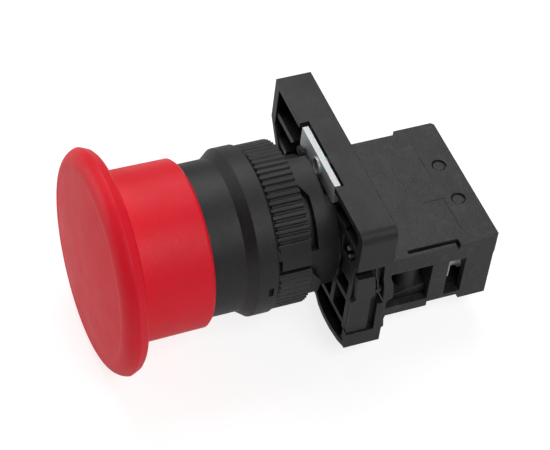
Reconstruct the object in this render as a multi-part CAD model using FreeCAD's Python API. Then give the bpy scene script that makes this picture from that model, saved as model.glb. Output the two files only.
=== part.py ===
import FreeCAD, Part
import math
import os

# Emergency stop push button for a 22 mm panel hole, in millimetres.
# Origin: on the button's axis, in the plane of the bezel's rear face, where the panel seats.
# -Y points at the operator, +Y into the cabinet, +Z up. The button is pressed towards +Y.

V = FreeCAD.Vector
AXIS_Y = V(0, 1, 0)
FAR = 40.0  # reaches past every part, for cutting tools

# ---- strokes --------------------------------------------------------------------------
PUSH_STROKE = 5.5
LATCH_TRAVEL = 1.8

# ---- mushroom cap ---------------------------------------------------------------------
CAP_R = 20.0
CAP_CROWN_Y = -30.1
CAP_SKIRT_FRONT_R = 15.1
CAP_SKIRT_REAR_R = 14.95
CAP_SKIRT_BORE_R = 13.95
CAP_CROWN_MID = (9.0, -29.82)
CAP_CROWN_EDGE = (16.6, -29.1)
CAP_RIM_MID = (19.15, -28.25)
CAP_RIM_FRONT_Y = -26.75
CAP_SKIRT_REAR_Y = -11.4
CAP_CEILING_Y = -27.0
CAP_FLANGE_REAR_Y = -24.9
CAP_HUB_R = 5.2
CAP_HUB_REAR_Y = -19.05
CAP_RIB_COUNT = 6
CAP_RIB_THICK = 1.2
CAP_RIB_REAR_Y = -23.9

# ---- operator stem --------------------------------------------------------------------
SPIGOT_R = 3.0
SPIGOT_FRONT_Y = -25.8
STEM_SHOULDER_R = 8.0
STEM_SHOULDER_Y = (-19.0, -17.6)
STEM_R = 6.0
STEM_REAR_Y = -0.6
NECK_R = 4.2
CORE_R = 2.6
CORE_FRONT_Y = -14.0
PUSHER_R = 8.8
PUSHER_Y = (9.4, 10.9)
DETENT_GROOVE_DEPTH = 0.6
DETENT_Y = -5.5
DETENT_HALF_W = 0.95
CLIP_Y = (-2.3, -1.5)
CLIP_R = 7.6
CLIP_GROOVE_R = 4.9

# ---- bushing: bezel and barrel in one moulding ----------------------------------------
SLEEVE_R = 13.55
SLEEVE_BORE_R = 10.6
SLEEVE_FRONT_Y = -18.2
BEZEL_R = 14.95
BEZEL_BAND_FRONT_Y = -3.5
BEZEL_CHAMFER_FRONT_Y = -5.4
WEB_Y = (-8.6, -2.4)
WEB_BORE_R = 6.08
BARREL_R = 10.9
BARREL_BORE_R = 9.1
BARREL_REAR_Y = 16.2
LOCK_GROOVE_R = 9.9
LOCK_GROOVE_Y = (11.0, 14.8)
KEYWAY_W = 2.4
KEYWAY_R = 10.1
KEYWAY_REAR_Y = 10.4
KEY_MARK_W = 2.1
KEY_MARK_Y = (-1.85, -0.95)
KEY_MARK_DEPTH = 0.7
GASKET_R = (11.5, 14.1)
GASKET_Y = (-0.8, 0.05)
DETENT_POCKET_R = 7.5
DETENT_RING_R = 6.25
DETENT_WIRE_R = 0.7
WIPER_R = 8.6
WIPER_REAR_Y = -7.3

# ---- retaining nut and its lock washer ------------------------------------------------
NUT_Y = (0.15, 6.2)
NUT_TIP_R = 14.6
NUT_ROOT_R = 14.22
NUT_RIBS = 72
NUT_RIB_FOOT = 0.22  # shares of one rib's pitch
NUT_RIB_TIP = (0.42, 0.80)
NUT_TEETH_REAR_Y = 0.6
NUT_TEETH_ROOT_R = 13.8
NUT_BORE_R = 11.15
NUT_COUNTERBORE_R = 12.9
NUT_COUNTERBORE_Y = 2.9
NUT_WASHER_POCKET_R = 12.8
NUT_WASHER_POCKET_Y = 0.75
NUT_FLAT_ANGLES = (14.0, 28.5)
NUT_SLOT_ANGLE = 12.3
NUT_SLOT_W = 0.8
NUT_SLOT_DEPTH = 1.3
NUT_DIMPLE_ANGLES = (12.3, 22.5)
NUT_DIMPLE_R = 13.15
NUT_DIMPLE_REAR_Y = 0.8
NUT_LUG_R = (12.95, 14.22)
NUT_LUG_ANGLES = (-18.0, 7.0)
NUT_LUG_TOP_ANGLE = -3.0
NUT_LUG_REAR_Y = 8.2
WASHER_Y = (0.2, 0.7)
WASHER_R = (11.0, 12.6)
WASHER_TAB_W = 2.1
WASHER_TAB_R = 10.25

# ---- mounting base --------------------------------------------------------------------
BASE_HALF_X = 19.8
BASE_HALF_Z = 14.4
BASE_Y = (11.8, 18.4)
BASE_FLOOR_Y = 16.8
BASE_SIDE_WALL = 1.2
BASE_END_WALL = 1.7
BASE_TOP_CORNER_R = 2.0
BASE_LOW_CORNER_R = 0.6
BASE_RIB = 1.1
BASE_LIP = ((19.0, 11.8), (17.5, 11.4), (14.5, 11.1), (11.5, 11.1), (9.0, 11.3), (6.5, 11.8))
BLOCK_LAND_Y = 18.5
BLOCK_LAND_HALF_X = 14.6
BLOCK_LAND_Z = ((-14.2, -0.1), (0.4, 14.2))
COLLAR_R = 12.5
COLLAR_BORE_R = 11.2
COLLAR_FRONT_Y = 6.7
COLLAR_FLAT_Z = 10.1
COLLAR_FLAT_FRONT_Y = 10.8
RAMP_ANGLES = (20.0, 77.0)
RAMP_REAR_Y = 8.2
RAMP_SLOPE = 30.0
COLLAR_LOW_ANGLES = (104.0, 235.0)
COLLAR_LOW_Y = 10.9
COLLAR_GAP_ANGLES = (122.0, 235.0)
COLLAR_GAP_REAR_Y = 15.8
KNOB_ANGLE = 117.0
KNOB_R = 1.1
CROSS_WALL_X = (11.3, 12.5)
CROSS_WALL_HALF_Z = 9.8
RIB_FRONT_Y = 12.1
POCKET_CHAMFER = 0.8
PLATE_SEAT_X = (-8.6, 7.6)
PLATE_SEAT_Z = 9.0
LEFT_RIBS = ((7.15, -18.3), (2.3, -16.9))
RIGHT_RIBS_Z = (8.7, 3.9, -3.8, -10.1)
PIN_SPOTS = ((14.05, 5.9), (14.9, 4.55))
PIN_R = 0.42
PIN_Y = (12.5, 17.4)
END_NOTCH_Z = 5.3
END_NOTCH_DEPTH = 3.0
END_NOTCH_FLAT_Z = 1.0
PLATE_NOTCH_X = (-8.5, 7.4)
PLATE_NOTCH_REAR_Y = 13.45
LATCH_WINDOW_Z = (-10.6, 6.05)
LATCH_WINDOW_DEPTH_X = 16.9
LATCH_WALL_X = (17.3, 18.55)
STRIP_OUTLINE = ((16.85, 6.2), (18.5, 6.2), (18.5, 2.4), (19.15, 0.6), (19.5, -1.5),
                 (19.5, -3.2), (18.1, -3.8), (17.75, -2.8), (17.5, 0.5), (17.05, 2.8))
GUIDE_OUTLINE = ((16.75, -3.7), (17.9, -4.0), (18.3, -5.95), (18.75, -7.6), (18.55, -8.45),
                 (18.8, -10.4), (18.35, -10.85), (16.9, -10.9))
PUSHER_WINDOW_HALF_X = 2.4
PUSHER_WINDOW_HALF_Z = 1.7
BLOCK_OFFSET_Z = 7.5
HOOK_X = 10.6
HOOK_HALF_X = 0.9
HOOK_HALF_Z = 1.6
HOOK_BARB_LENGTH = 1.2
HOOK_BARB_REACH = 0.7

# ---- clamp plate and screw ------------------------------------------------------------
PLATE_X = (-7.4, 7.2)
PLATE_Y = (11.8, 12.9)
PLATE_Z = (10.3, 14.4)
PLATE_LIFT = 0.4
CLAMP_X = 0.0
CLAMP_Z = 12.3
CLAMP_THREAD_R = 1.25
CLAMP_RIM_R = 1.65
CLAMP_RIM_HEIGHT = 0.35
CLAMP_HEAD_R = 1.85
CLAMP_HEAD_Y = (17.0, 18.3)

# ---- release latch --------------------------------------------------------------------
LATCH_SIDE = ((12.0, 4.15), (12.4, -1.1), (11.9, -2.3), (11.95, -10.45), (15.6, -10.45),
              (15.45, -3.0), (15.4, -1.9), (15.8, -0.9), (15.55, 2.1), (15.1, 4.15))
LATCH_BACK_X = 18.7
LATCH_THIN_X = 19.5
LATCH_THICK_X = 20.0
LATCH_STEP_Z = (-2.3, -1.1)
LATCH_EAR_X = (18.75, 19.05)
LATCH_EAR_R = 0.7
TONGUE_X = 10.3
TONGUE_Y = (12.6, 14.4)
TONGUE_Z = (-0.9, 2.2)
LATCH_PIN_R = 0.5
LATCH_PIN_X = (18.6, 19.6)
LATCH_PIN_Y = 16.55
LATCH_PIN_Z = -0.35
LATCH_SPRING_PATH = ((15.45, 5.95), (15.5, 4.8), (15.75, 3.4), (16.2, 2.2), (16.25, 1.2), (16.45, 0.2))
LATCH_SPRING_THICK = 0.3
LATCH_SPRING_X = (19.15, 19.55)

# ---- contact block --------------------------------------------------------------------
BLOCK_HALF_X = 14.45
BLOCK_Y = (18.55, 41.7)
BLOCK_Z = (-15.0, 0.0)
BLOCK_BACK_STEP = 0.5
BLOCK_BACK_STEP_Z = -4.6
BLOCK_SIDE_STEP = 0.85
BLOCK_SIDE_STEP_Y = 34.2
BLOCK_CHAMFER = 0.5
BLOCK_LOW_STEP_Y = (30.1, 36.4)
BLOCK_LOW_STEP_HEIGHT = 1.1
COVER_THICK = 1.2
WALL = 1.25
CENTRE_HALF_X = 6.4
END_ROOM_X = (7.6, 13.2)
WIRE_ROOM_Y = (30.9, 40.4)
HOOK_ROOM_Y = (20.0, 29.9)
HOOK_WINDOW_Y = (21.8, 29.9)
HOOK_WINDOW_Z = (-13.0, -3.9)
WIRE_WINDOW_Y = (33.1, 36.4)
WIRE_WINDOW_Z = (-13.0, -4.1)
RAIL_HALF_X = 2.9
LEDGE_REAR_Y = 30.2
LEDGE_HEIGHTS = (0.8, 3.0)
POST_X = 10.2
POST_Y = 27.4
POST_R = 2.1
POST_TOP_Z = -3.3
SCREW_X = 10.35
SCREW_Z = -7.5
ACCESS_R = 2.9
COVER_PIN_X = 4.24
COVER_PIN_Y = 38.8
COVER_PIN_R = 1.15
COVER_PIN_RECESS = 0.28
COVER_PIN_BOTTOM_Z = -5.6
COVER_SLOT_X = (13.0, 13.8)
COVER_SLOT_Y = (24.8, 34.6)
COVER_GROOVE_W = 0.15
COVER_GROOVE_DEPTH = 0.08
COVER_GROOVE_Y = 36.1
COVER_GROOVES_X = ((-10.6, -2.9), (3.4, 11.0))
COVER_CROSS_GROOVE_Y = (32.0, 36.2)

# ---- contact block, moving and live parts ---------------------------------------------
PLUNGER_HALF_X = 1.8
PLUNGER_HALF_Z = 1.1
PLUNGER_TIP_Y = 10.95
CARRIER_HALF_X = 2.6
CARRIER_HALF_Z = 3.0
CARRIER_Y = (21.5, 31.0)
BRIDGE_WINDOW_Y = (26.6, 30.2)
BRIDGE_WINDOW_HALF_Z = 2.1
BRIDGE_HALF_X = 4.9
BRIDGE_Y = (26.9, 27.6)
BRIDGE_HALF_Z = 1.4
PLUNGER_POST_R = 1.2
PLUNGER_POST_REAR_Y = 33.6
PLUNGER_SPRING_R = (2.0, 0.3)
BRIDGE_SPRING_R = (1.25, 0.2)
CONTACT_X = 4.1
CONTACT_R = 0.9
FOOT_Y = (24.95, 25.75)
LEG_X = (5.5, 6.3)
TERMINAL_PLATE_Y = (32.6, 33.4)
TERMINAL_HALF_Z = 2.9
TERMINAL_PLATE_END_X = 12.9
SADDLE_X = (7.9, 12.8)
SADDLE_HALF_Z = 2.7
SADDLE_WING_X = 8.6
SADDLE_WING_Z = (-5.4, -4.8)
SADDLE_WING_LENGTH = 1.3
SADDLE_Y = (33.45, 34.45)
TERMINAL_SCREW_TIP_Y = 31.3
TERMINAL_SHANK_R = 1.5
TERMINAL_NECK_R = 1.9
TERMINAL_HEAD_R = 2.4
TERMINAL_HEAD_Y = (36.45, 38.2)
DRIVER_SLOT_W = 0.8
DRIVER_SLOT_DEPTH = 0.8


# ---- helpers --------------------------------------------------------------------------
def box(x, y, z):
    """Axis-aligned box from three (low, high) ranges."""
    return Part.makeBox(x[1] - x[0], y[1] - y[0], z[1] - z[0], V(x[0], y[0], z[0]))


def cyl(r, y, x=0.0, z=0.0):
    """Solid cylinder along Y between the two y values."""
    return Part.makeCylinder(r, y[1] - y[0], V(x, y[0], z), AXIS_Y)


def cyl_z(r, z, x, y):
    """Solid cylinder along Z between the two z values."""
    return Part.makeCylinder(r, z[1] - z[0], V(x, y, z[0]), V(0, 0, 1))


def cyl_x(r, x, y, z):
    """Solid cylinder along X between the two x values."""
    return Part.makeCylinder(r, x[1] - x[0], V(x[0], y, z), V(1, 0, 0))


def tube(r_out, r_in, y, x=0.0, z=0.0):
    """Tube along Y."""
    return cyl(r_out, y, x, z).cut(cyl(r_in, (y[0] - 1, y[1] + 1), x, z))


def around(value, half):
    """The (low, high) range centred on a value."""
    return (value - half, value + half)


def turned(points):
    """Solid of revolution about Y from (radius, y) points."""
    corners = [V(r, y, 0) for r, y in points]
    wire = Part.makePolygon(corners + [corners[0]])
    return Part.Face(wire).revolve(V(0, 0, 0), AXIS_Y, 360)


def prism_y(points, y):
    """Prism along Y from (x, z) outline points."""
    corners = [V(x, y[0], z) for x, z in points]
    face = Part.Face(Part.makePolygon(corners + [corners[0]]))
    return face.extrude(V(0, y[1] - y[0], 0))


def prism_x(points, x):
    """Prism along X from (y, z) outline points."""
    corners = [V(x[0], y, z) for y, z in points]
    face = Part.Face(Part.makePolygon(corners + [corners[0]]))
    return face.extrude(V(x[1] - x[0], 0, 0))


def prism_z(points, z):
    """Prism along Z from (x, y) outline points."""
    corners = [V(x, y, z[0]) for x, y in points]
    face = Part.Face(Part.makePolygon(corners + [corners[0]]))
    return face.extrude(V(0, 0, z[1] - z[0]))


def polar(r, degrees):
    """Point (x, z) at a radius and an angle from +X towards +Z."""
    angle = math.radians(degrees)
    return (r * math.cos(angle), r * math.sin(angle))


def sector(angles, y):
    """Wedge about Y between two angles, wider than every round part of the head."""
    middle = sum(angles) / 2
    return prism_y([(0, 0), polar(FAR, angles[0]), polar(FAR, middle), polar(FAR, angles[1])], y)


def coil(mean_r, wire_r, y, turns, x=0.0, z=0.0):
    """Compression spring along Y, its wire's centre line inside the given range."""
    pitch = (y[1] - y[0] - 2 * wire_r) / turns
    helix = Part.makeHelix(pitch, pitch * turns, mean_r)
    section = Part.Wire(Part.makeCircle(wire_r, V(mean_r, 0, 0), V(0, 1, 0)))
    spring = Part.Wire(helix).makePipeShell([section], True, True)
    spring.rotate(V(0, 0, 0), V(1, 0, 0), -90)
    spring.translate(V(x, y[0] + wire_r, z))
    return spring


def edges_along_y(shape, x, z):
    """Straight edges of a shape that run along Y at the given x and z."""
    found = []
    for edge in shape.Edges:
        ends = [v.Point for v in edge.Vertexes]
        if len(ends) != 2:
            continue
        if all(abs(p.x - x) < 1e-6 and abs(p.z - z) < 1e-6 for p in ends):
            found.append(edge)
    return found


def join(shapes):
    """One fused solid from several shapes, with seams between coplanar faces removed."""
    result = shapes[0]
    for shape in shapes[1:]:
        result = result.fuse(shape)
    return result.removeSplitter()


def cut_all(shape, tools):
    """A shape with every tool cut away."""
    for tool in tools:
        shape = shape.cut(tool)
    return shape


def save(node, solids):
    """Write one node's file; a node may hold several separate solids."""
    shape = solids[0] if len(solids) == 1 else Part.makeCompound(solids)
    shape.exportStep("parts/" + node + ".step")


# ---- the button: everything that moves when it is pressed -----------------------------
def mushroom_cap():
    crown_mid = V(*CAP_CROWN_MID, 0)
    crown_edge = V(*CAP_CROWN_EDGE, 0)
    rim_mid = V(*CAP_RIM_MID, 0)
    rim = V(CAP_R, CAP_RIM_FRONT_Y, 0)
    outline = [
        rim,
        V(CAP_R, CAP_RIM_FRONT_Y + 0.15, 0),
        V(CAP_R - 0.55, CAP_FLANGE_REAR_Y - 0.4, 0),
        V(CAP_R - 1.0, CAP_FLANGE_REAR_Y, 0),
        V(CAP_SKIRT_FRONT_R + 0.6, CAP_FLANGE_REAR_Y + 0.2, 0),
        V(CAP_SKIRT_FRONT_R, CAP_FLANGE_REAR_Y + 0.8, 0),
        V(CAP_SKIRT_REAR_R, CAP_SKIRT_REAR_Y - 0.5, 0),
        V(CAP_SKIRT_REAR_R - 0.45, CAP_SKIRT_REAR_Y, 0),
        V(CAP_SKIRT_BORE_R, CAP_SKIRT_REAR_Y, 0),
        V(CAP_SKIRT_BORE_R, CAP_CEILING_Y, 0),
        V(0, CAP_CEILING_Y, 0),
        V(0, CAP_CROWN_Y, 0),
    ]
    edges = [Part.makeLine(a, b) for a, b in zip(outline, outline[1:])]
    crown = Part.Arc(V(0, CAP_CROWN_Y, 0), crown_mid, crown_edge).toShape()
    rounding = Part.Arc(crown_edge, rim_mid, rim).toShape()
    profile = Part.Wire(edges + [crown, rounding])
    shell = Part.Face(profile).revolve(V(0, 0, 0), AXIS_Y, 360)
    hub = cyl(CAP_HUB_R, (CAP_CEILING_Y - 0.2, CAP_HUB_REAR_Y))
    ribs = []
    for i in range(CAP_RIB_COUNT):
        rib = box((CAP_HUB_R - 0.4, CAP_SKIRT_BORE_R + 0.2), (CAP_CEILING_Y - 0.2, CAP_RIB_REAR_Y),
                  around(0, CAP_RIB_THICK / 2))
        rib.rotate(V(0, 0, 0), AXIS_Y, i * 360 / CAP_RIB_COUNT)
        ribs.append(rib)
    socket = cyl(SPIGOT_R + 0.05, (SPIGOT_FRONT_Y - 0.2, CAP_HUB_REAR_Y + 1))
    return join([shell, hub] + ribs).cut(socket)


def operator_stem():
    groove_r = STEM_R - DETENT_GROOVE_DEPTH
    profile = [
        (0, SPIGOT_FRONT_Y),
        (SPIGOT_R - 0.4, SPIGOT_FRONT_Y),
        (SPIGOT_R, SPIGOT_FRONT_Y + 0.4),
        (SPIGOT_R, STEM_SHOULDER_Y[0]),
        (STEM_SHOULDER_R, STEM_SHOULDER_Y[0]),
        (STEM_SHOULDER_R, STEM_SHOULDER_Y[1]),
        (STEM_R, STEM_SHOULDER_Y[1]),
    ]
    for centre in (DETENT_Y - PUSH_STROKE, DETENT_Y):
        profile.append((STEM_R, centre - DETENT_HALF_W))
        profile.append((groove_r, centre - DETENT_HALF_W / 2))
        profile.append((groove_r, centre + DETENT_HALF_W / 2))
        profile.append((STEM_R, centre + DETENT_HALF_W))
    profile += [
        (STEM_R, CLIP_Y[0] - 0.05),
        (CLIP_GROOVE_R, CLIP_Y[0] - 0.05),
        (CLIP_GROOVE_R, CLIP_Y[1] + 0.05),
        (STEM_R, CLIP_Y[1] + 0.05),
        (STEM_R, STEM_REAR_Y),
        (NECK_R, STEM_REAR_Y + 1.2),
        (NECK_R, PUSHER_Y[0]),
        (PUSHER_R, PUSHER_Y[0]),
        (PUSHER_R, PUSHER_Y[1]),
        (CORE_R, PUSHER_Y[1]),
        (CORE_R, CORE_FRONT_Y),
        (0, CORE_FRONT_Y - 1.0),
    ]
    return turned(profile)


def stem_clip():
    ring = tube(CLIP_R, CLIP_GROOVE_R + 0.05, CLIP_Y)
    mouth = box((0, CLIP_R + 1), (CLIP_Y[0] - 1, CLIP_Y[1] + 1), around(0, CLIP_GROOVE_R - 1.2))
    return ring.cut(mouth)


# ---- the head that stays on the panel -------------------------------------------------
def bushing():
    body = turned([
        (SLEEVE_BORE_R, SLEEVE_FRONT_Y),
        (SLEEVE_R - 0.5, SLEEVE_FRONT_Y),
        (SLEEVE_R, SLEEVE_FRONT_Y + 0.5),
        (SLEEVE_R, BEZEL_CHAMFER_FRONT_Y),
        (BEZEL_R - 0.2, BEZEL_BAND_FRONT_Y - 0.25),
        (BEZEL_R, BEZEL_BAND_FRONT_Y),
        (BEZEL_R, -0.25),
        (BEZEL_R - 0.2, 0),
        (GASKET_R[1] + 0.05, 0),
        (GASKET_R[1] + 0.05, GASKET_Y[0]),
        (GASKET_R[0] - 0.05, GASKET_Y[0]),
        (GASKET_R[0] - 0.05, 0),
        (BARREL_R, 0),
        (BARREL_R, LOCK_GROOVE_Y[0]),
        (LOCK_GROOVE_R, LOCK_GROOVE_Y[0]),
        (LOCK_GROOVE_R, LOCK_GROOVE_Y[1]),
        (BARREL_R, LOCK_GROOVE_Y[1]),
        (BARREL_R, BARREL_REAR_Y - 0.6),
        (BARREL_R - 0.6, BARREL_REAR_Y),
        (BARREL_BORE_R, BARREL_REAR_Y),
        (BARREL_BORE_R, WEB_Y[1]),
        (WEB_BORE_R, WEB_Y[1]),
        (WEB_BORE_R, DETENT_Y + DETENT_WIRE_R + 0.15),
        (DETENT_POCKET_R, DETENT_Y + DETENT_WIRE_R + 0.15),
        (DETENT_POCKET_R, DETENT_Y - DETENT_WIRE_R - 0.15),
        (WEB_BORE_R, DETENT_Y - DETENT_WIRE_R - 0.15),
        (WEB_BORE_R, WIPER_REAR_Y),
        (WIPER_R + 0.05, WIPER_REAR_Y),
        (WIPER_R + 0.05, WEB_Y[0]),
        (SLEEVE_BORE_R, WEB_Y[0]),
    ])
    key_mark = box((BEZEL_R - KEY_MARK_DEPTH, BEZEL_R + 1), KEY_MARK_Y, around(0, KEY_MARK_W / 2))
    keyway = box(around(0, KEYWAY_W / 2), (0.01, KEYWAY_REAR_Y), (-BARREL_R - 1, -KEYWAY_R))
    return cut_all(body, [key_mark, keyway])


def stem_wiper():
    return turned([
        (WEB_BORE_R, WIPER_REAR_Y - 0.05),
        (WIPER_R, WIPER_REAR_Y - 0.05),
        (WIPER_R, WEB_Y[0] - 0.3),
        (WEB_BORE_R + 0.9, WEB_Y[0] - 0.3),
        (WEB_BORE_R, WEB_Y[0] + 0.3),
    ])


def detent_ring():
    ring = Part.makeTorus(DETENT_RING_R, DETENT_WIRE_R, V(0, DETENT_Y, 0), AXIS_Y)
    gap = box((0, DETENT_RING_R + 2), around(DETENT_Y, 2), around(0, 0.4))
    return ring.cut(gap)


def panel_gasket():
    return tube(GASKET_R[1], GASKET_R[0], GASKET_Y)


def lock_washer():
    ring = tube(WASHER_R[1], WASHER_R[0], WASHER_Y)
    tab = box(around(0, WASHER_TAB_W / 2), WASHER_Y, (-WASHER_R[0] - 0.3, -WASHER_TAB_R))
    return join([ring, tab])


def ribbed_outline(root_r):
    """Outline of the nut: fine axial ribs, with two plain lands opposite each other."""
    pitch = 360 / NUT_RIBS
    points = []
    for i in range(NUT_RIBS):
        start = i * pitch
        land = start % 180
        if NUT_FLAT_ANGLES[0] - pitch < land < NUT_FLAT_ANGLES[1]:
            points.append(polar(NUT_ROOT_R, start))
            points.append(polar(NUT_ROOT_R, start + pitch / 2))
            continue
        points.append(polar(root_r, start))
        points.append(polar(root_r, start + pitch * NUT_RIB_FOOT))
        points.append(polar(NUT_TIP_R, start + pitch * NUT_RIB_TIP[0]))
        points.append(polar(NUT_TIP_R, start + pitch * NUT_RIB_TIP[1]))
    return points


def nut_lug():
    """Stop on the nut's rear face, one flank sloping back."""
    ring = tube(NUT_LUG_R[1], NUT_LUG_R[0], (NUT_Y[1] - 0.2, NUT_LUG_REAR_Y))
    top_z = polar(NUT_LUG_R[1], NUT_LUG_ANGLES[1])[1]
    rear_z = polar(NUT_LUG_R[1], NUT_LUG_TOP_ANGLE)[1]
    slope = prism_x([
        (NUT_Y[1], top_z), (NUT_LUG_REAR_Y, rear_z), (NUT_LUG_REAR_Y + 1, rear_z),
        (NUT_LUG_REAR_Y + 1, top_z + 2), (NUT_Y[1], top_z + 2),
    ], (NUT_LUG_R[0] - 2, NUT_LUG_R[1] + 1))
    return ring.common(sector(NUT_LUG_ANGLES, (NUT_Y[0], NUT_LUG_REAR_Y + 1))).cut(slope)


def retaining_nut():
    lug = nut_lug()
    opposite_lug = lug.copy()
    opposite_lug.rotate(V(0, 0, 0), AXIS_Y, 180)
    body = join([
        prism_y(ribbed_outline(NUT_TEETH_ROOT_R), (NUT_Y[0], NUT_TEETH_REAR_Y)),
        prism_y(ribbed_outline(NUT_ROOT_R), (NUT_TEETH_REAR_Y, NUT_Y[1])),
        lug,
        opposite_lug,
    ])
    front = NUT_Y[0] - 1
    tools = [
        cyl(NUT_BORE_R, (front, NUT_LUG_REAR_Y + 1)),
        cyl(NUT_COUNTERBORE_R, (NUT_COUNTERBORE_Y, NUT_LUG_REAR_Y + 1)),
        cyl(NUT_WASHER_POCKET_R, (front, NUT_WASHER_POCKET_Y)),
    ]
    for side in (0, 180):
        slot = box((NUT_TIP_R - NUT_SLOT_DEPTH, NUT_TIP_R + 1), (front, NUT_Y[1] + 0.01),
                   around(0, NUT_SLOT_W / 2))
        slot.rotate(V(0, 0, 0), AXIS_Y, -NUT_SLOT_ANGLE - side)
        dimple = tube(NUT_TIP_R + 1, NUT_DIMPLE_R, (front, NUT_DIMPLE_REAR_Y))
        dimple = dimple.common(sector(NUT_DIMPLE_ANGLES, (front, NUT_Y[1])))
        dimple.rotate(V(0, 0, 0), AXIS_Y, side)
        tools += [slot, dimple]
    return cut_all(body, tools)


# ---- mounting base --------------------------------------------------------------------
def base_shell():
    """The base's outer box with its rounded corners, notched end and open front."""
    body = box(around(0, BASE_HALF_X), BASE_Y, around(0, BASE_HALF_Z))
    body = body.makeFillet(BASE_TOP_CORNER_R, edges_along_y(body, BASE_HALF_X, BASE_HALF_Z))
    body = body.makeFillet(BASE_LOW_CORNER_R, edges_along_y(body, BASE_HALF_X, -BASE_HALF_Z))
    notch_x = -BASE_HALF_X + END_NOTCH_DEPTH
    body = body.cut(prism_y([
        (-BASE_HALF_X - 1, END_NOTCH_Z + 1.1),
        (-BASE_HALF_X, END_NOTCH_Z),
        (notch_x, END_NOTCH_FLAT_Z),
        (notch_x, -END_NOTCH_FLAT_Z),
        (-BASE_HALF_X, -END_NOTCH_Z),
        (-BASE_HALF_X - 1, -END_NOTCH_Z - 1.1),
    ], (BASE_Y[0] - 1, BASE_Y[1] + 1)))
    inner_x = BASE_HALF_X - BASE_END_WALL
    inner_z = BASE_HALF_Z - BASE_SIDE_WALL
    pocket = prism_y([
        (inner_x - POCKET_CHAMFER, inner_z), (-inner_x, inner_z), (-inner_x, END_NOTCH_Z - 0.5),
        (notch_x + BASE_END_WALL, END_NOTCH_FLAT_Z), (notch_x + BASE_END_WALL, -END_NOTCH_FLAT_Z),
        (-inner_x, -END_NOTCH_Z + 0.5), (-inner_x, -inner_z), (inner_x - POCKET_CHAMFER, -inner_z),
        (inner_x, -inner_z + POCKET_CHAMFER), (inner_x, inner_z - POCKET_CHAMFER),
    ], (BASE_Y[0] - 1, BASE_FLOOR_Y))
    return body.cut(pocket)


def base_ribs():
    """Ribs that stand on the base's floor, around the barrel's socket."""
    depth = (RIB_FRONT_Y, BASE_FLOOR_Y + 0.2)
    inner_x = BASE_HALF_X - BASE_END_WALL
    inner_z = BASE_HALF_Z - BASE_SIDE_WALL
    ribs = []
    for z, start_x in LEFT_RIBS:
        for side in (1, -1):
            ribs.append(box((start_x, -5.0), depth, around(side * z, BASE_RIB / 2)))
    for z in RIGHT_RIBS_Z:
        ribs.append(box((CROSS_WALL_X[0] - 4.0, inner_x + 0.2), depth, around(z, BASE_RIB / 2)))
    ribs.append(box(CROSS_WALL_X, depth, around(0, CROSS_WALL_HALF_Z)))
    ribs.append(box(PLATE_SEAT_X, (PLATE_Y[1] + 0.05, BASE_FLOOR_Y + 0.2), (PLATE_SEAT_Z, inner_z + 0.2)))
    return ribs


def base_lips():
    """Bowed front edges of the lower wall, one at each side of the middle."""
    depth = (-BASE_HALF_Z, -BASE_HALF_Z + BASE_SIDE_WALL)
    lips = []
    for side in (1, -1):
        bow = [(side * x, y) for x, y in BASE_LIP]
        foot = [(side * BASE_LIP[-1][0], BASE_Y[0] + 0.3), (side * BASE_LIP[0][0], BASE_Y[0] + 0.3)]
        lips.append(prism_z(bow + foot, depth))
    return lips


def block_lands():
    """Two raised seats on the base's rear face, one for each contact block."""
    return [box(around(0, BLOCK_LAND_HALF_X), (BASE_Y[1] - 0.3, BLOCK_LAND_Y), z) for z in BLOCK_LAND_Z]


def collar_cuts():
    """Cuts in the collar: the clamp plate's flat, a ramp in the front edge, the open -X side."""
    flat = box(PLATE_NOTCH_X, (COLLAR_FLAT_FRONT_Y, PLATE_Y[1] + 0.05), (COLLAR_FLAT_Z, BASE_HALF_Z))
    ramp = sector(RAMP_ANGLES, (COLLAR_FRONT_Y - 2, RAMP_REAR_Y))
    end_x, end_z = polar(COLLAR_R, RAMP_ANGLES[1])
    wedge = box((-FAR, FAR), (COLLAR_FRONT_Y - FAR, COLLAR_FRONT_Y), (-FAR, FAR))
    wedge.rotate(V(end_x, COLLAR_FRONT_Y, end_z), V(end_x, 0, end_z), RAMP_SLOPE)
    ring = tube(COLLAR_R + 0.5, BARREL_R, (COLLAR_FRONT_Y - 1, COLLAR_GAP_REAR_Y))
    low = ring.common(sector(COLLAR_LOW_ANGLES, (COLLAR_FRONT_Y - 1, COLLAR_LOW_Y)))
    gap = ring.common(sector(COLLAR_GAP_ANGLES, (COLLAR_FRONT_Y - 1, COLLAR_GAP_REAR_Y)))
    return [flat, ramp.common(wedge), low, gap]


def collar_knob():
    """Rounded end of the collar's wall, just in front of the clamp plate."""
    x, z = polar((COLLAR_R + COLLAR_BORE_R) / 2, KNOB_ANGLE)
    knob = cyl(KNOB_R, (COLLAR_LOW_Y - 0.1, PLATE_Y[0] - PLATE_LIFT - 0.05), x, z)
    return knob.cut(cyl(COLLAR_BORE_R, (COLLAR_FRONT_Y, PLATE_Y[0])))


def base_end_window():
    """The latch's window in the +X end wall, open to the front."""
    return box((LATCH_WINDOW_DEPTH_X, BASE_HALF_X + 1), (BASE_Y[0] - 1, BASE_Y[1] + 2), LATCH_WINDOW_Z)


def base_end_guides():
    """The strip behind the latch, with its bulge, the guide below it and the wall inside it."""
    thick = (LATCH_WINDOW_DEPTH_X - 0.2, BASE_HALF_X)
    wall = box(LATCH_WALL_X, (BASE_Y[0] + 0.1, BASE_FLOOR_Y + 0.2),
               (LATCH_WINDOW_Z[0] - 0.2, LATCH_WINDOW_Z[1] + 0.2))
    return [prism_x(STRIP_OUTLINE, thick), prism_x(GUIDE_OUTLINE, thick), wall]


def base_pins():
    return [cyl(PIN_R, PIN_Y, x, z) for x, z in PIN_SPOTS]


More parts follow.
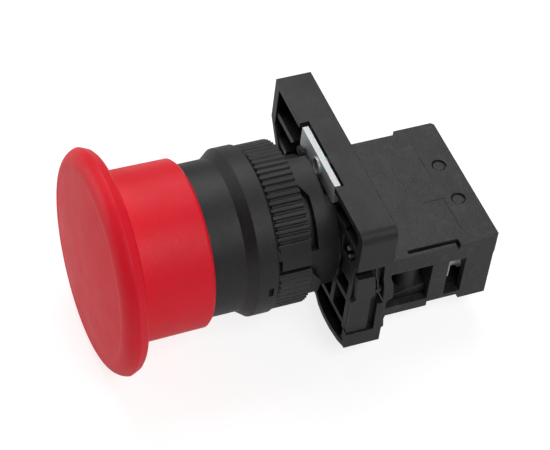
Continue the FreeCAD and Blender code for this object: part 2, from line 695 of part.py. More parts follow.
def base_floor_windows():
    """Openings in the floor for two plungers and four hooks, and the clamp screw's hole."""
    through = (BASE_FLOOR_Y - 0.5, BLOCK_LAND_Y + 1)
    tools = []
    for side in (1, -1):
        z = side * BLOCK_OFFSET_Z
        tools.append(box(around(0, PUSHER_WINDOW_HALF_X), through, around(z, PUSHER_WINDOW_HALF_Z)))
        for x in (HOOK_X, -HOOK_X):
            barb_room_y = (BASE_FLOOR_Y - HOOK_BARB_LENGTH - 0.4, BASE_FLOOR_Y)
            tools.append(box(around(x, HOOK_HALF_X + 0.3), through, around(z, HOOK_HALF_Z + 0.3)))
            tools.append(box(around(x, HOOK_HALF_X + 1.0), barb_room_y, around(z, HOOK_HALF_Z + 0.3)))
    tools.append(cyl(CLAMP_THREAD_R + 0.1, (PLATE_Y[0], BASE_Y[1] + 1), CLAMP_X, CLAMP_Z))
    tools.append(cyl(CLAMP_HEAD_R + 0.1, (CLAMP_HEAD_Y[0] - 0.05, BASE_Y[1] + 1), CLAMP_X, CLAMP_Z))
    return tools


def mounting_base():
    collar = cyl(COLLAR_R, (COLLAR_FRONT_Y, BASE_FLOOR_Y + 0.2))
    solid = join([base_shell(), collar] + base_ribs() + base_lips() + block_lands())
    plate_notch = box(PLATE_NOTCH_X, (BASE_Y[0] - 1, PLATE_NOTCH_REAR_Y),
                      (BASE_HALF_Z - BASE_SIDE_WALL, BASE_HALF_Z + 1))
    socket = cyl(COLLAR_BORE_R, (COLLAR_FRONT_Y - 1, BASE_FLOOR_Y))
    tongue_slot = box((TONGUE_X - 1.5, BASE_HALF_X), (TONGUE_Y[0] - 0.3, TONGUE_Y[1] + 0.3),
                      (TONGUE_Z[0] - 0.2, TONGUE_Z[1] + LATCH_TRAVEL + 0.2))
    tools = [plate_notch, socket, base_end_window()]
    tools += collar_cuts() + base_floor_windows()
    body = join([cut_all(solid, tools), collar_knob()] + base_end_guides())
    pin_holes = [cyl(PIN_R + 0.03, (PIN_Y[0] - 1, PIN_Y[1] + 0.05), x, z) for x, z in PIN_SPOTS]
    return cut_all(body, [tongue_slot] + pin_holes)


# ---- clamp plate and screw ------------------------------------------------------------
def clamp_plate():
    plate = box(PLATE_X, PLATE_Y, PLATE_Z)
    rim = cyl(CLAMP_RIM_R, (PLATE_Y[0] - CLAMP_RIM_HEIGHT, PLATE_Y[0] + 0.2), CLAMP_X, CLAMP_Z)
    hole = cyl(CLAMP_THREAD_R + 0.05, (PLATE_Y[0] - 2, PLATE_Y[1] + 2), CLAMP_X, CLAMP_Z)
    return join([plate, rim]).cut(hole)


def slotted_screw(shank_r, tip_y, head_r, head_y, x, z):
    """Cheese-head screw along Y, its head and driver slot towards +Y."""
    shank = cyl(shank_r, (tip_y, head_y[0] + 0.1), x, z)
    head = cyl(head_r, head_y, x, z)
    slot = box(around(x, DRIVER_SLOT_W / 2), (head_y[1] - DRIVER_SLOT_DEPTH, head_y[1] + 1),
               around(z, head_r + 1))
    return join([shank, head]).cut(slot)


def clamp_screw():
    return slotted_screw(CLAMP_THREAD_R, PLATE_Y[0] + 0.15, CLAMP_HEAD_R, CLAMP_HEAD_Y, CLAMP_X, CLAMP_Z)


# ---- release latch --------------------------------------------------------------------
def release_latch():
    side = prism_x(LATCH_SIDE, (LATCH_BACK_X, LATCH_THICK_X))
    low_z = LATCH_WINDOW_Z[0]
    high_z = LATCH_WINDOW_Z[1]
    face = prism_y([
        (LATCH_BACK_X, low_z), (LATCH_THIN_X, low_z), (LATCH_THIN_X, LATCH_STEP_Z[0]),
        (LATCH_THICK_X, LATCH_STEP_Z[1]), (LATCH_THICK_X, high_z), (LATCH_BACK_X, high_z),
    ], (BASE_Y[0] - 1, BASE_Y[1]))
    tongue = box((TONGUE_X, LATCH_BACK_X + 0.2), TONGUE_Y, TONGUE_Z)
    ear = cyl_x(LATCH_EAR_R, LATCH_EAR_X, LATCH_PIN_Y, LATCH_PIN_Z)
    bar = box(LATCH_EAR_X, (TONGUE_Y[1] + 0.6, LATCH_PIN_Y), around(LATCH_PIN_Z, LATCH_EAR_R))
    hole = cyl_x(LATCH_PIN_R + 0.03, (LATCH_BACK_X - 1, LATCH_THICK_X + 1), LATCH_PIN_Y, LATCH_PIN_Z)
    return join([side.common(face), tongue, ear, bar]).cut(hole)


def latch_spring():
    """Bent finger between the window's top edge and the latch's pin."""
    half = LATCH_SPRING_THICK / 2
    front = [(y - half, z) for y, z in LATCH_SPRING_PATH]
    rear = [(y + half, z) for y, z in LATCH_SPRING_PATH]
    return prism_x(front + rear[::-1], LATCH_SPRING_X)


def latch_pin():
    return cyl_x(LATCH_PIN_R, LATCH_PIN_X, LATCH_PIN_Y, LATCH_PIN_Z)


# ---- contact block --------------------------------------------------------------------
def block_body(z):
    """The block's full outline between two heights, its two rear corners bevelled."""
    rear = BLOCK_Y[1] + BLOCK_BACK_STEP
    return prism_z([
        (-BLOCK_HALF_X, BLOCK_Y[0]), (BLOCK_HALF_X, BLOCK_Y[0]),
        (BLOCK_HALF_X, rear - BLOCK_CHAMFER), (BLOCK_HALF_X - BLOCK_CHAMFER, rear),
        (-BLOCK_HALF_X + BLOCK_CHAMFER, rear), (-BLOCK_HALF_X, rear - BLOCK_CHAMFER),
    ], z)


def block_outline_cuts():
    """Steps in the block's outside: narrower front at -X, shorter back below the top band."""
    return [
        box((-FAR, -BLOCK_HALF_X + BLOCK_SIDE_STEP), (BLOCK_Y[0] - 1, BLOCK_SIDE_STEP_Y),
            (BLOCK_Z[0] - 1, BLOCK_Z[1] + 1)),
        box((-FAR, FAR), (BLOCK_Y[1], BLOCK_Y[1] + FAR), (BLOCK_Z[0] - 1, BLOCK_BACK_STEP_Z)),
        box((BLOCK_HALF_X - 2.0, FAR), BLOCK_LOW_STEP_Y,
            (BLOCK_Z[0] - 1, BLOCK_Z[0] + BLOCK_LOW_STEP_HEIGHT)),
    ]


def block_rooms():
    """Hollows of the housing, all open towards the cover."""
    floor_z = BLOCK_Z[0] + WALL + 0.15
    depth = (floor_z, BLOCK_Z[1] + 1)
    rooms = [box(around(0, CENTRE_HALF_X), (HOOK_ROOM_Y[0], WIRE_ROOM_Y[1]), depth)]
    for side in (1, -1):
        x = sorted((side * END_ROOM_X[0], side * END_ROOM_X[1]))
        rooms.append(box(x, HOOK_ROOM_Y, depth))
        rooms.append(box(x, WIRE_ROOM_Y, depth))
    return rooms


def block_windows():
    """Openings through the housing's walls."""
    tools = []
    strip_z = around(SCREW_Z, TERMINAL_HALF_Z + 0.1)
    strip_y = (TERMINAL_PLATE_Y[0] - 0.1, TERMINAL_PLATE_Y[1] + 0.1)
    for side in (1, -1):
        outer = sorted((side * (END_ROOM_X[1] - 0.5), side * (BLOCK_HALF_X + 1)))
        divider = sorted((side * (CENTRE_HALF_X - 0.5), side * (END_ROOM_X[0] + 0.5)))
        tools.append(box(outer, HOOK_WINDOW_Y, HOOK_WINDOW_Z))
        tools.append(box(outer, WIRE_WINDOW_Y, WIRE_WINDOW_Z))
        tools.append(box(divider, strip_y, strip_z))
        tools.append(cyl(ACCESS_R, (WIRE_ROOM_Y[1] - 0.5, BLOCK_Y[1] + 2), side * SCREW_X, SCREW_Z))
    tools.append(box(around(0, PUSHER_WINDOW_HALF_X - 0.3), (BLOCK_Y[0] - 1, HOOK_ROOM_Y[0] + 0.5),
                     around(-BLOCK_OFFSET_Z, PUSHER_WINDOW_HALF_Z - 0.3)))
    return tools


def block_hook(side):
    """Hook that holds the block in the base's floor."""
    front = BASE_FLOOR_Y - HOOK_BARB_LENGTH
    x = side * HOOK_X
    shank = box(around(x, HOOK_HALF_X), (front, BLOCK_Y[0] + 1), around(-BLOCK_OFFSET_Z, HOOK_HALF_Z))
    barb_x = sorted((x, x + side * (HOOK_HALF_X + HOOK_BARB_REACH)))
    barb = box(barb_x, (front, BASE_FLOOR_Y - 0.1), around(-BLOCK_OFFSET_Z, HOOK_HALF_Z))
    return join([shank, barb])


def block_inner_walls():
    """Plunger rail and, in each hook room, the sloping ledge and the round post."""
    floor_z = BLOCK_Z[0] + WALL
    rail = box(around(0, RAIL_HALF_X), (HOOK_ROOM_Y[0] - 0.2, WIRE_ROOM_Y[1] + 0.2),
               (floor_z, -BLOCK_OFFSET_Z - CARRIER_HALF_Z - 0.15))
    parts = [rail]
    for side in (1, -1):
        x = sorted((side * (END_ROOM_X[0] - 0.2), side * (END_ROOM_X[1] - 0.6)))
        ledge = prism_x([
            (HOOK_ROOM_Y[0] - 0.1, floor_z), (LEDGE_REAR_Y, floor_z),
            (LEDGE_REAR_Y, floor_z + LEDGE_HEIGHTS[1]), (HOOK_ROOM_Y[0] - 0.1, floor_z + LEDGE_HEIGHTS[0]),
        ], x)
        post = cyl_z(POST_R, (floor_z, POST_TOP_Z), side * POST_X, POST_Y)
        parts += [ledge, post]
    return parts


def block_housing():
    outer = block_body((BLOCK_Z[0], BLOCK_Z[1] - COVER_THICK))
    hollow = cut_all(outer, block_outline_cuts() + block_rooms())
    solid = join([hollow] + block_inner_walls() + [block_hook(1), block_hook(-1)])
    pins = [cyl_z(COVER_PIN_R - 0.1, (COVER_PIN_BOTTOM_Z - 0.4, BLOCK_Z[1]), side * COVER_PIN_X, COVER_PIN_Y)
            for side in (1, -1)]
    return cut_all(solid, block_windows() + pins)


def block_cover():
    top_z = BLOCK_Z[1]
    plate = block_body((top_z - COVER_THICK + 0.02, top_z))
    rail = box(around(0, RAIL_HALF_X), (HOOK_ROOM_Y[0] + 0.2, WIRE_ROOM_Y[1] - 0.2),
               (-BLOCK_OFFSET_Z + CARRIER_HALF_Z + 0.15, top_z - COVER_THICK + 0.2))
    groove_z = (top_z - COVER_GROOVE_DEPTH, top_z + 1)
    groove_y = (COVER_GROOVE_Y, COVER_GROOVE_Y + COVER_GROOVE_W)
    slot_z = (top_z - 3, top_z + 1)
    slot_w = COVER_SLOT_X[1] - COVER_SLOT_X[0]
    cross_x = COVER_GROOVES_X[1][0]
    tools = [box(x, groove_y, groove_z) for x in COVER_GROOVES_X]
    tools += [
        box(COVER_SLOT_X, COVER_SLOT_Y, slot_z),
        box((COVER_SLOT_X[0], FAR), (COVER_SLOT_Y[1] - slot_w, COVER_SLOT_Y[1]), slot_z),
        box((cross_x, cross_x + COVER_GROOVE_W), COVER_CROSS_GROOVE_Y, groove_z),
    ]
    for side in (1, -1):
        x = side * COVER_PIN_X
        tools.append(cyl_z(COVER_PIN_R + 0.2, (top_z - 0.5, top_z + 1), x, COVER_PIN_Y))
        tools.append(cyl_z(COVER_PIN_R, (COVER_PIN_BOTTOM_Z - 0.4, top_z + 1), x, COVER_PIN_Y))
    return cut_all(join([plate, rail]), block_outline_cuts() + tools)


def cover_pins():
    top_z = BLOCK_Z[1] - COVER_PIN_RECESS
    return [cyl_z(COVER_PIN_R - 0.12, (COVER_PIN_BOTTOM_Z, top_z), side * COVER_PIN_X, COVER_PIN_Y)
            for side in (1, -1)]


def block_plunger():
    z = -BLOCK_OFFSET_Z
    stem = box(around(0, PLUNGER_HALF_X), (PLUNGER_TIP_Y, CARRIER_Y[0] + 0.2), around(z, PLUNGER_HALF_Z))
    frame = box(around(0, CARRIER_HALF_X), CARRIER_Y, around(z, CARRIER_HALF_Z))
    window = box(around(0, CARRIER_HALF_X + 1), BRIDGE_WINDOW_Y, around(z, BRIDGE_WINDOW_HALF_Z))
    post = cyl(PLUNGER_POST_R, (CARRIER_Y[1] - 0.2, PLUNGER_POST_REAR_Y), 0, z)
    return join([stem, frame, post]).cut(window)


def plunger_spring():
    return coil(*PLUNGER_SPRING_R, (CARRIER_Y[1] + 0.05, WIRE_ROOM_Y[1] - 0.05), 6, 0, -BLOCK_OFFSET_Z)


def bridge_spring():
    return coil(*BRIDGE_SPRING_R, (BRIDGE_Y[1] + 0.03, BRIDGE_WINDOW_Y[1] - 0.03), 4, 0, -BLOCK_OFFSET_Z)


def contact_bridge():
    return box(around(0, BRIDGE_HALF_X), BRIDGE_Y, around(-BLOCK_OFFSET_Z, BRIDGE_HALF_Z))


def contact_tips(y):
    """A pair of round contact tips between the two y values."""
    return [cyl(CONTACT_R, y, side * CONTACT_X, -BLOCK_OFFSET_Z) for side in (1, -1)]


def terminal_strip(side):
    z = around(-BLOCK_OFFSET_Z, BRIDGE_HALF_Z)
    foot = box(sorted((side * (CONTACT_X - CONTACT_R), side * LEG_X[1])), FOOT_Y, z)
    leg = box(sorted((side * LEG_X[0], side * LEG_X[1])), (FOOT_Y[0], TERMINAL_PLATE_Y[1]), z)
    plate = box(sorted((side * LEG_X[0], side * TERMINAL_PLATE_END_X)), TERMINAL_PLATE_Y,
                around(SCREW_Z, TERMINAL_HALF_Z))
    hole = cyl(TERMINAL_SHANK_R + 0.05, (TERMINAL_PLATE_Y[0] - 1, TERMINAL_PLATE_Y[1] + 1),
               side * SCREW_X, SCREW_Z)
    return join([foot, leg, plate]).cut(hole)


def terminal_saddle(side):
    plate = box(sorted((side * SADDLE_X[0], side * SADDLE_X[1])), SADDLE_Y, around(SCREW_Z, SADDLE_HALF_Z))
    wing = box(sorted((side * SADDLE_WING_X, side * SADDLE_X[1])),
               (SADDLE_Y[0], SADDLE_Y[1] + SADDLE_WING_LENGTH), SADDLE_WING_Z)
    hole = cyl(TERMINAL_SHANK_R + 0.1, (SADDLE_Y[0] - 1, SADDLE_Y[1] + 1), side * SCREW_X, SCREW_Z)
    return join([plate, wing]).cut(hole)


def terminal_screw(side):
    x = side * SCREW_X
    screw = slotted_screw(
        TERMINAL_SHANK_R, TERMINAL_SCREW_TIP_Y, TERMINAL_HEAD_R, TERMINAL_HEAD_Y, x, SCREW_Z)
    neck = cyl(TERMINAL_NECK_R, (SADDLE_Y[1] + 0.05, TERMINAL_HEAD_Y[0] + 0.1), x, SCREW_Z)
    return join([screw, neck])


# ---- write every node -----------------------------------------------------------------
os.makedirs("parts", exist_ok=True)

save("mushroom_cap", [mushroom_cap()])
save("operator_stem", [operator_stem()])
save("stem_clip", [stem_clip()])
save("bushing", [bushing()])
save("stem_wiper", [stem_wiper()])
save("detent_ring", [detent_ring()])
save("panel_gasket", [panel_gasket()])
save("lock_washer", [lock_washer()])
save("retaining_nut", [retaining_nut()])
save("mounting_base", [mounting_base()])
save("base_pins", base_pins())
save("clamp_plate", [clamp_plate()])
save("clamp_screw", [clamp_screw()])
save("release_latch", [release_latch()])
save("latch_spring", [latch_spring()])
save("latch_pin", [latch_pin()])
save("block_housing", [block_housing()])
save("block_cover", [block_cover()])
save("cover_pins", cover_pins())
save("block_plunger", [block_plunger()])
save("plunger_spring", [plunger_spring()])
save("bridge_spring", [bridge_spring()])
save("contact_bridge", [contact_bridge()])
save("moving_contacts", contact_tips((BRIDGE_Y[0] - 0.53, BRIDGE_Y[0])))
save("fixed_contacts", contact_tips((FOOT_Y[1], FOOT_Y[1] + 0.55)))
for name, side in (("right", 1), ("left", -1)):
    save("terminal_strip_" + name, [terminal_strip(side)])
    save("terminal_saddle_" + name, [terminal_saddle(side)])
    save("terminal_screw_" + name, [terminal_screw(side)])
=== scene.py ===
"""Looks, light and camera for the emergency stop button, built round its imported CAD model."""

import math

import bpy
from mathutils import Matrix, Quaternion, Vector


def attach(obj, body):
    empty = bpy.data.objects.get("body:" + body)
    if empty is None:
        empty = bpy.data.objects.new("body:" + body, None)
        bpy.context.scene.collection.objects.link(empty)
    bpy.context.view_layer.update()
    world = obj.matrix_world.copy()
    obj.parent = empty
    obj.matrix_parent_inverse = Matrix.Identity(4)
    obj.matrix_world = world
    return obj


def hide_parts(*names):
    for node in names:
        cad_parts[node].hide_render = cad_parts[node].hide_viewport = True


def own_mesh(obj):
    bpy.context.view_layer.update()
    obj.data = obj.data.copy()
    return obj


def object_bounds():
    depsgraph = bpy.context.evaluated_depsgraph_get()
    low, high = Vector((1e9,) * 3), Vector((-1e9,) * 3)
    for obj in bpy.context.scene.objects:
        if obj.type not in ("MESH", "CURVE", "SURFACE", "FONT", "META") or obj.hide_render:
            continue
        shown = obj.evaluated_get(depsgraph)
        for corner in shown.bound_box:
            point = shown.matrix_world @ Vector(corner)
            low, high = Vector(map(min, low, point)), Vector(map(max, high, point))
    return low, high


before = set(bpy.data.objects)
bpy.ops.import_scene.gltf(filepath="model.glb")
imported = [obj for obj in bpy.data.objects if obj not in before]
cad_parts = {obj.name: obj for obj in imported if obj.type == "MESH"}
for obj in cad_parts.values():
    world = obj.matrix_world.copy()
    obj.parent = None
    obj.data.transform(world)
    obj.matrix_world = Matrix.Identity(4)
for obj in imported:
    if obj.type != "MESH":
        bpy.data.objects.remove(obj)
CAD_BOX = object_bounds()

MM = 0.001  # metres in a millimetre

# Camera: it looks down on the button from its latch end, and a little from the head's side.
AIM = Vector((0.24, 5.14, -0.55)) * MM
CAMERA_AZIMUTH = math.radians(62.58)
CAMERA_ELEVATION = math.radians(47.60)
CAMERA_ROLL = math.radians(7.86)
CAMERA_DISTANCE = 396.7 * MM
CAMERA_LENS = 148.6
CAMERA_SENSOR = 36.0
CAMERA_NEAR = 0.01
CAMERA_FAR = 20.0

# Floor: just under the lowest point of the head. It is seen brighter than the light it casts.
FLOOR_GAP = 0.05 * MM
FLOOR_HALF = 1.6
FLOOR_GLOW_SEEN = 0.80
FLOOR_GLOW_CAST = 0.34

# Soft studio light: name, place and size in metres, power in watts, and colour of each panel.
PANELS = (
    ("overhead", (-0.32, 0.04, 0.46), 0.46, 1.7, (1.0, 1.0, 1.0)),
    ("key", (0.42, 0.06, 0.56), 0.34, 1.75, (1.0, 0.99, 0.98)),
    ("right_side", (0.56, 0.30, 0.16), 0.28, 0.12, (1.0, 0.99, 0.98)),
    ("front_left", (-0.42, -0.58, 0.16), 0.42, 1.5, (1.0, 0.99, 0.98)),
)
LIGHT_AIM = Vector((0.0, 6.0, 0.0)) * MM

# Room: the strength of its light where it is dark and bright, and as the camera sees it.
ROOM_DARK = 0.05
ROOM_BRIGHT = 0.20
ROOM_SEEN = 0.97

# Moulded plastic: sizes of its marks, in millimetres, or in grains where the name says so.
SPECKLE_GRAINS = 3.0
COARSE_GRAINS = 7.0
PIT_SIZE = 0.42
SCRATCH_SIZE = 0.35
RUB_SIZE = 1.6
SMEAR_SIZE = 2.6
FINGER_SIZE = 5.0
# Its wear: the share of pale colour on a rubbed edge, which is partly wear and partly a painted edge
# highlight, and how much rougher each mark is.
RUBBED_HIGHLIGHT_SHARE = 0.85
RUBBED_ROUGHER = -0.10
SCUFFED_ROUGHER = 0.20

# Pressed springs: CAD node, material slot, joint that presses it, which way, and how far in mm.
PRESSED_SPRINGS = (
    ("latch_spring", "black_plastic", "latch_slide", (0.0, 0.0, 1.0), 1.8),
    ("plunger_spring", "spring_steel", "contact_travel", (0.0, 1.0, 0.0), 5.5),
)


# ---------------------------------------------------------------- materials

class Finish:
    """One procedural material, made node by node. Lengths are in millimetres on the object."""

    def __init__(self, name):
        self.material = bpy.data.materials.new(name)
        self.material.use_nodes = True
        self.tree = self.material.node_tree
        self.tree.nodes.clear()
        self.place = self.node("ShaderNodeTexCoord").outputs["Object"]

    def node(self, kind, inputs=None, **settings):
        made = self.tree.nodes.new(kind)
        for key, value in settings.items():
            setattr(made, key, value)
        for key, value in (inputs or {}).items():
            if isinstance(value, bpy.types.NodeSocket):
                self.tree.links.new(value, made.inputs[key])
            else:
                made.inputs[key].default_value = value
        return made

    def stretched(self, along):
        """The place on the object, squeezed per axis, so that a pattern runs along one of them."""
        mapping = self.node("ShaderNodeMapping", {"Vector": self.place, "Scale": along})
        return mapping.outputs["Vector"]

    def noise(self, size, detail=2.0, roughness=0.5, place=None):
        made = self.node("ShaderNodeTexNoise", {
            "Vector": place or self.place,
            "Scale": 1.0 / (size * MM),
            "Detail": detail,
            "Roughness": roughness,
        })
        return made.outputs["Fac"]

    def span(self, value, low, high, to_low, to_high):
        made = self.node("ShaderNodeMapRange", {
            "Value": value, "From Min": low, "From Max": high, "To Min": to_low, "To Max": to_high})
        return made.outputs["Result"]

    def sum(self, a, b):
        return self.node("ShaderNodeMath", {0: a, 1: b}, operation="ADD").outputs[0]

    def product(self, a, b):
        return self.node("ShaderNodeMath", {0: a, 1: b}, operation="MULTIPLY").outputs[0]

    def mix(self, share, a, b):
        made = self.node("ShaderNodeMix", data_type="RGBA")
        for index, value in ((0, share), (6, a), (7, b)):
            if isinstance(value, bpy.types.NodeSocket):
                self.tree.links.new(value, made.inputs[index])
            else:
                made.inputs[index].default_value = value
        return made.outputs[2]

    def soft_edges(self, radius):
        """The normal with its edges rounded, and how near an edge each point is, from 0 to 1."""
        bevel = self.node("ShaderNodeBevel", {"Radius": radius * MM}, samples=4)
        true_normal = self.node("ShaderNodeNewGeometry").outputs["Normal"]
        facing = self.node(
            "ShaderNodeVectorMath", {0: bevel.outputs["Normal"], 1: true_normal}, operation="DOT_PRODUCT")
        return bevel.outputs["Normal"], self.span(facing.outputs["Value"], 0.995, 0.80, 0.0, 1.0)

    def bump(self, height, depth, normal, strength=1.0):
        made = self.node("ShaderNodeBump", {
            "Height": height, "Distance": depth * MM, "Strength": strength, "Normal": normal})
        return made.outputs["Normal"]

    def finish(self, colour, roughness, normal, **extras):
        shader = self.node("ShaderNodeBsdfPrincipled", {
            "Base Color": colour, "Roughness": roughness, "Normal": normal})
        for key, value in extras.items():
            if isinstance(value, bpy.types.NodeSocket):
                self.tree.links.new(value, shader.inputs[key.replace("_", " ")])
            else:
                shader.inputs[key.replace("_", " ")].default_value = value
        output = self.node("ShaderNodeOutputMaterial")
        self.tree.links.new(shader.outputs["BSDF"], output.inputs["Surface"])
        return self.material


def rgb(red, green, blue):
    """A colour as a screen shows it, from 0 to 255, as the linear colour that a shader takes."""
    def linear(value):
        value /= 255.0
        return value / 12.92 if value <= 0.04045 else ((value + 0.055) / 1.055) ** 2.4
    return linear(red), linear(green), linear(blue), 1.0


def scuff_marks(f):
    """Soft pale smears, with fine scratches along X where they are strong."""
    smears = f.span(f.noise(SMEAR_SIZE, 6.0, 0.72), 0.50, 0.72, 0.0, 0.6)
    along_x = f.stretched((0.10, 1.0, 1.0))
    scratches = f.span(f.noise(SCRATCH_SIZE, 3.0, 0.6, along_x), 0.60, 0.72, 0.0, 1.0)
    return f.sum(smears, f.product(scratches, smears))


def moulded(name, colour, deep, wear_and_highlight, roughness, grain, depth, edge,
            clouds=9.0, scuffs=0.0, gloss=0.5, speckles=0.12, pitting=0.0):
    """Moulded plastic: cloudy colour, a spark-eroded grain, scuffs, and edges rubbed round and made
    paler, partly as wear and partly as a painted highlight.
    """
    f = Finish(name)
    body = f.mix(f.span(f.noise(clouds, 3.0), 0.35, 0.65, 0.0, 1.0), deep, colour)
    speckle = f.span(f.noise(grain * SPECKLE_GRAINS, 4.0, 0.6), 0.3, 0.7, 0.0, 1.0)
    body = f.mix(f.product(speckle, speckles), body, wear_and_highlight)
    scuffed = f.product(scuff_marks(f), scuffs)
    body = f.mix(scuffed, body, wear_and_highlight)
    normal, near_edge = f.soft_edges(edge)
    # Paler edges: partly wear, partly a painted edge highlight.
    rubbed_and_highlit = f.product(near_edge, f.span(f.noise(RUB_SIZE, 4.0, 0.65), 0.35, 0.75, 0.15, 0.9))
    body = f.mix(f.product(rubbed_and_highlit, RUBBED_HIGHLIGHT_SHARE), body, wear_and_highlight)
    fingered = f.span(f.noise(FINGER_SIZE, 5.0, 0.6), 0.3, 0.7, -0.05, 0.05)
    rough = f.sum(f.span(speckle, 0.0, 1.0, roughness - 0.05, roughness + 0.05), fingered)
    worn_rough = f.sum(f.product(rubbed_and_highlit, RUBBED_ROUGHER), f.product(scuffed, SCUFFED_ROUGHER))
    rough = f.sum(rough, worn_rough)
    coarse = f.product(f.noise(grain * COARSE_GRAINS, 2.0), 0.6)
    normal = f.bump(f.sum(f.noise(grain, 3.0, 0.6), coarse), depth, normal)
    normal = f.bump(f.noise(PIT_SIZE, 2.0), pitting, normal)
    return f.finish(body, rough, normal, Specular_IOR_Level=gloss)


def rubber(name, colour, bloom_and_highlight):
    """Seal rubber: dull, with a pale bloom in patches and a painted highlight along its edges in the
    bloom colour.
    """
    f = Finish(name)
    patches = f.span(f.noise(2.5, 5.0, 0.65), 0.45, 0.75, 0.0, 0.5)
    body = f.mix(patches, colour, bloom_and_highlight)
    normal, near_edge = f.soft_edges(0.15)
    # Edges lightened towards the pale colour: a painted edge highlight.
    body = f.mix(f.product(near_edge, 0.3), body, bloom_and_highlight)
    rough = f.span(f.noise(0.5, 4.0), 0.3, 0.7, 0.68, 0.86)
    normal = f.bump(f.noise(0.12, 4.0, 0.7), 0.02, normal)
    return f.finish(body, rough, normal)


def metal(name, colour, other, dark, roughness, lines, patch, edge=0.08, shine=1.0):
    """Bare or plated metal: drawing lines along one axis, patchy plating, darker spots and a painted
    highlight along its edges.
    """
    f = Finish(name)
    grain = f.noise(0.06, 3.0, 0.6, f.stretched(lines))
    body = f.mix(f.span(f.noise(patch, 3.0), 0.38, 0.62, 0.0, 1.0), colour, other)
    spots = f.span(f.noise(patch * 0.35, 6.0, 0.7), 0.60, 0.75, 0.0, 0.6)
    body = f.mix(spots, body, dark)
    normal, near_edge = f.soft_edges(edge)
    # Edges made near-white: a painted edge highlight.
    body = f.mix(f.product(near_edge, 0.4), body, (0.95, 0.95, 0.95, 1.0))
    rough = f.sum(f.span(grain, 0.3, 0.7, roughness - 0.06, roughness + 0.08), f.product(spots, 0.25))
    normal = f.bump(grain, 0.006, normal)
    return f.finish(body, rough, normal, Metallic=shine)


def make_finishes():
    """The finish of each of the record's material slots."""
    along_x = (0.08, 1.0, 1.0)
    even = (1.0, 1.0, 1.0)
    return {
        "red_plastic": moulded(
            "red_plastic_finish", rgb(244, 18, 43), rgb(237, 15, 39), rgb(248, 66, 82),
            roughness=0.46, grain=0.10, depth=0.010, edge=0.30,
            clouds=14.0, gloss=0.30, pitting=0.045),
        "black_plastic": moulded(
            "black_plastic_finish", rgb(22, 20, 21), rgb(17, 16, 17), rgb(96, 91, 93),
            roughness=0.50, grain=0.09, depth=0.012, edge=0.22,
            scuffs=0.10, speckles=0.08, pitting=0.035),
        "block_plastic": moulded(
            "block_plastic_finish", rgb(22, 22, 24), rgb(16, 16, 18), rgb(100, 98, 100),
            roughness=0.50, grain=0.13, depth=0.020, edge=0.20,
            clouds=5.0, scuffs=0.50, speckles=0.26, pitting=0.06),
        "grey_plastic": moulded(
            "grey_plastic_finish", rgb(150, 150, 148), rgb(138, 138, 137), rgb(188, 188, 186),
            roughness=0.50, grain=0.10, depth=0.010, edge=0.15),
        "seal_rubber": rubber("seal_rubber_finish", rgb(30, 30, 30), rgb(84, 84, 82)),
        "zinc_steel": metal(
            "zinc_steel_finish", rgb(192, 205, 203), rgb(202, 195, 201), rgb(112, 120, 120), 0.42,
            along_x, 2.2, shine=0.55),
        "spring_steel": metal(
            "spring_steel_finish", rgb(168, 166, 162), rgb(150, 148, 146), rgb(84, 80, 76), 0.30,
            even, 1.5),
        "contact_brass": metal(
            "contact_brass_finish", rgb(214, 178, 96), rgb(196, 152, 78), rgb(112, 84, 46), 0.28,
            along_x, 1.8),
        "contact_silver": metal(
            "contact_silver_finish", rgb(226, 224, 218), rgb(206, 202, 192), rgb(120, 112, 96), 0.30,
            even, 0.9),
    }


def paint_frame():
    """Every CAD part keeps its shape and gets the finish of its own material slot."""
    finishes = make_finishes()
    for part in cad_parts.values():
        for material_slot in part.material_slots:
            material_slot.material = finishes[material_slot.material.name]


def make_pressed_springs():
    """Copies of the pressed springs, each attached to the frame in place of its hidden CAD part."""
    for node, slot, joint, way, travel in PRESSED_SPRINGS:
        spring = bpy.data.objects.new(node + "_pressed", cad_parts[node].data.copy())
        bpy.context.scene.collection.objects.link(spring)
        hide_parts(node)
        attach(spring, "frame")
        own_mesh(spring)


# ---------------------------------------------------------------- room

def make_floor():
    """A plain pale floor that glows, as a lit studio sheet does."""
    f = Finish("floor_finish")
    tone = f.mix(f.noise(400.0, 2.0), rgb(170, 170, 170), rgb(164, 164, 165))
    rough = f.span(f.noise(30.0, 3.0), 0.3, 0.7, 0.80, 0.90)
    normal = f.bump(f.noise(2.0, 3.0), 0.02, f.node("ShaderNodeNewGeometry").outputs["Normal"])
    seen = f.node("ShaderNodeLightPath").outputs["Is Camera Ray"]
    glow = f.span(seen, 0.0, 1.0, FLOOR_GLOW_CAST, FLOOR_GLOW_SEEN)
    material = f.finish(tone, rough, normal, Emission_Strength=glow, Emission_Color=(1.0, 1.0, 1.0, 1.0))
    height = CAD_BOX[0].z - FLOOR_GAP
    corners = [(x, y, height) for x, y in (
        (-FLOOR_HALF, -FLOOR_HALF), (FLOOR_HALF, -FLOOR_HALF),
        (FLOOR_HALF, FLOOR_HALF), (-FLOOR_HALF, FLOOR_HALF))]
    mesh = bpy.data.meshes.new("studio_floor")
    mesh.from_pydata(corners, [], [(0, 1, 2, 3)])
    mesh.materials.append(material)
    floor = bpy.data.objects.new("studio_floor", mesh)
    bpy.context.scene.collection.objects.link(floor)


def make_panels():
    """Large soft light panels, each turned to the object."""
    for name, place, size, power, colour in PANELS:
        light = bpy.data.lights.new(name, "AREA")
        light.shape = "SQUARE"
        light.size = size
        light.energy = power
        light.color = colour
        panel = bpy.data.objects.new(name, light)
        panel.location = place
        panel.rotation_mode = "QUATERNION"
        panel.rotation_quaternion = (LIGHT_AIM - Vector(place)).to_track_quat("-Z", "Y")
        bpy.context.scene.collection.objects.link(panel)


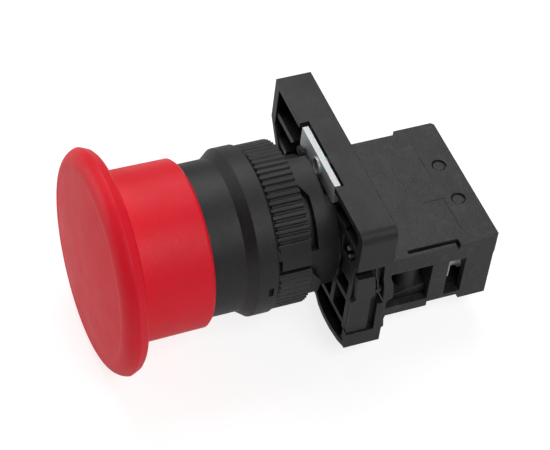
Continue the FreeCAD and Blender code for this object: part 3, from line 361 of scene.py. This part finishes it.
def make_room():
    """Pale surroundings, darker on the side that the head points to."""
    world = bpy.data.worlds.new("studio_room")
    world.use_nodes = True
    tree = world.node_tree
    tree.nodes.clear()
    place = tree.nodes.new("ShaderNodeTexCoord")
    split = tree.nodes.new("ShaderNodeSeparateXYZ")
    fade = tree.nodes.new("ShaderNodeMapRange")
    seen = tree.nodes.new("ShaderNodeLightPath")
    choice = tree.nodes.new("ShaderNodeMix")
    back = tree.nodes.new("ShaderNodeBackground")
    output = tree.nodes.new("ShaderNodeOutputWorld")
    fade.interpolation_type = "SMOOTHSTEP"
    limits = (("From Min", -0.9), ("From Max", 0.5), ("To Min", ROOM_DARK), ("To Max", ROOM_BRIGHT))
    for key, value in limits:
        fade.inputs[key].default_value = value
    tree.links.new(place.outputs["Generated"], split.inputs["Vector"])
    tree.links.new(split.outputs["Y"], fade.inputs["Value"])
    choice.inputs["B"].default_value = ROOM_SEEN
    tree.links.new(seen.outputs["Is Camera Ray"], choice.inputs["Factor"])
    tree.links.new(fade.outputs["Result"], choice.inputs["A"])
    tree.links.new(choice.outputs["Result"], back.inputs["Strength"])
    tree.links.new(back.outputs["Background"], output.inputs["Surface"])
    bpy.context.scene.world = world


def make_camera():
    """The camera, from its angles, its distance and its lens."""
    back = Vector((
        math.sin(CAMERA_AZIMUTH) * math.cos(CAMERA_ELEVATION),
        -math.cos(CAMERA_AZIMUTH) * math.cos(CAMERA_ELEVATION),
        math.sin(CAMERA_ELEVATION)))
    data = bpy.data.cameras.new("camera")
    data.lens = CAMERA_LENS
    data.sensor_width = CAMERA_SENSOR
    data.sensor_fit = "HORIZONTAL"
    data.clip_start = CAMERA_NEAR
    data.clip_end = CAMERA_FAR
    camera = bpy.data.objects.new("camera", data)
    camera.location = AIM + back * CAMERA_DISTANCE
    camera.rotation_mode = "QUATERNION"
    roll = Quaternion((0.0, 0.0, 1.0), CAMERA_ROLL)
    camera.rotation_quaternion = (-back).to_track_quat("-Z", "Y") @ roll
    bpy.context.scene.collection.objects.link(camera)
    bpy.context.scene.camera = camera


make_camera()
paint_frame()
make_pressed_springs()
make_floor()
make_panels()
make_room()
bpy.context.scene.view_settings.view_transform = "Standard"
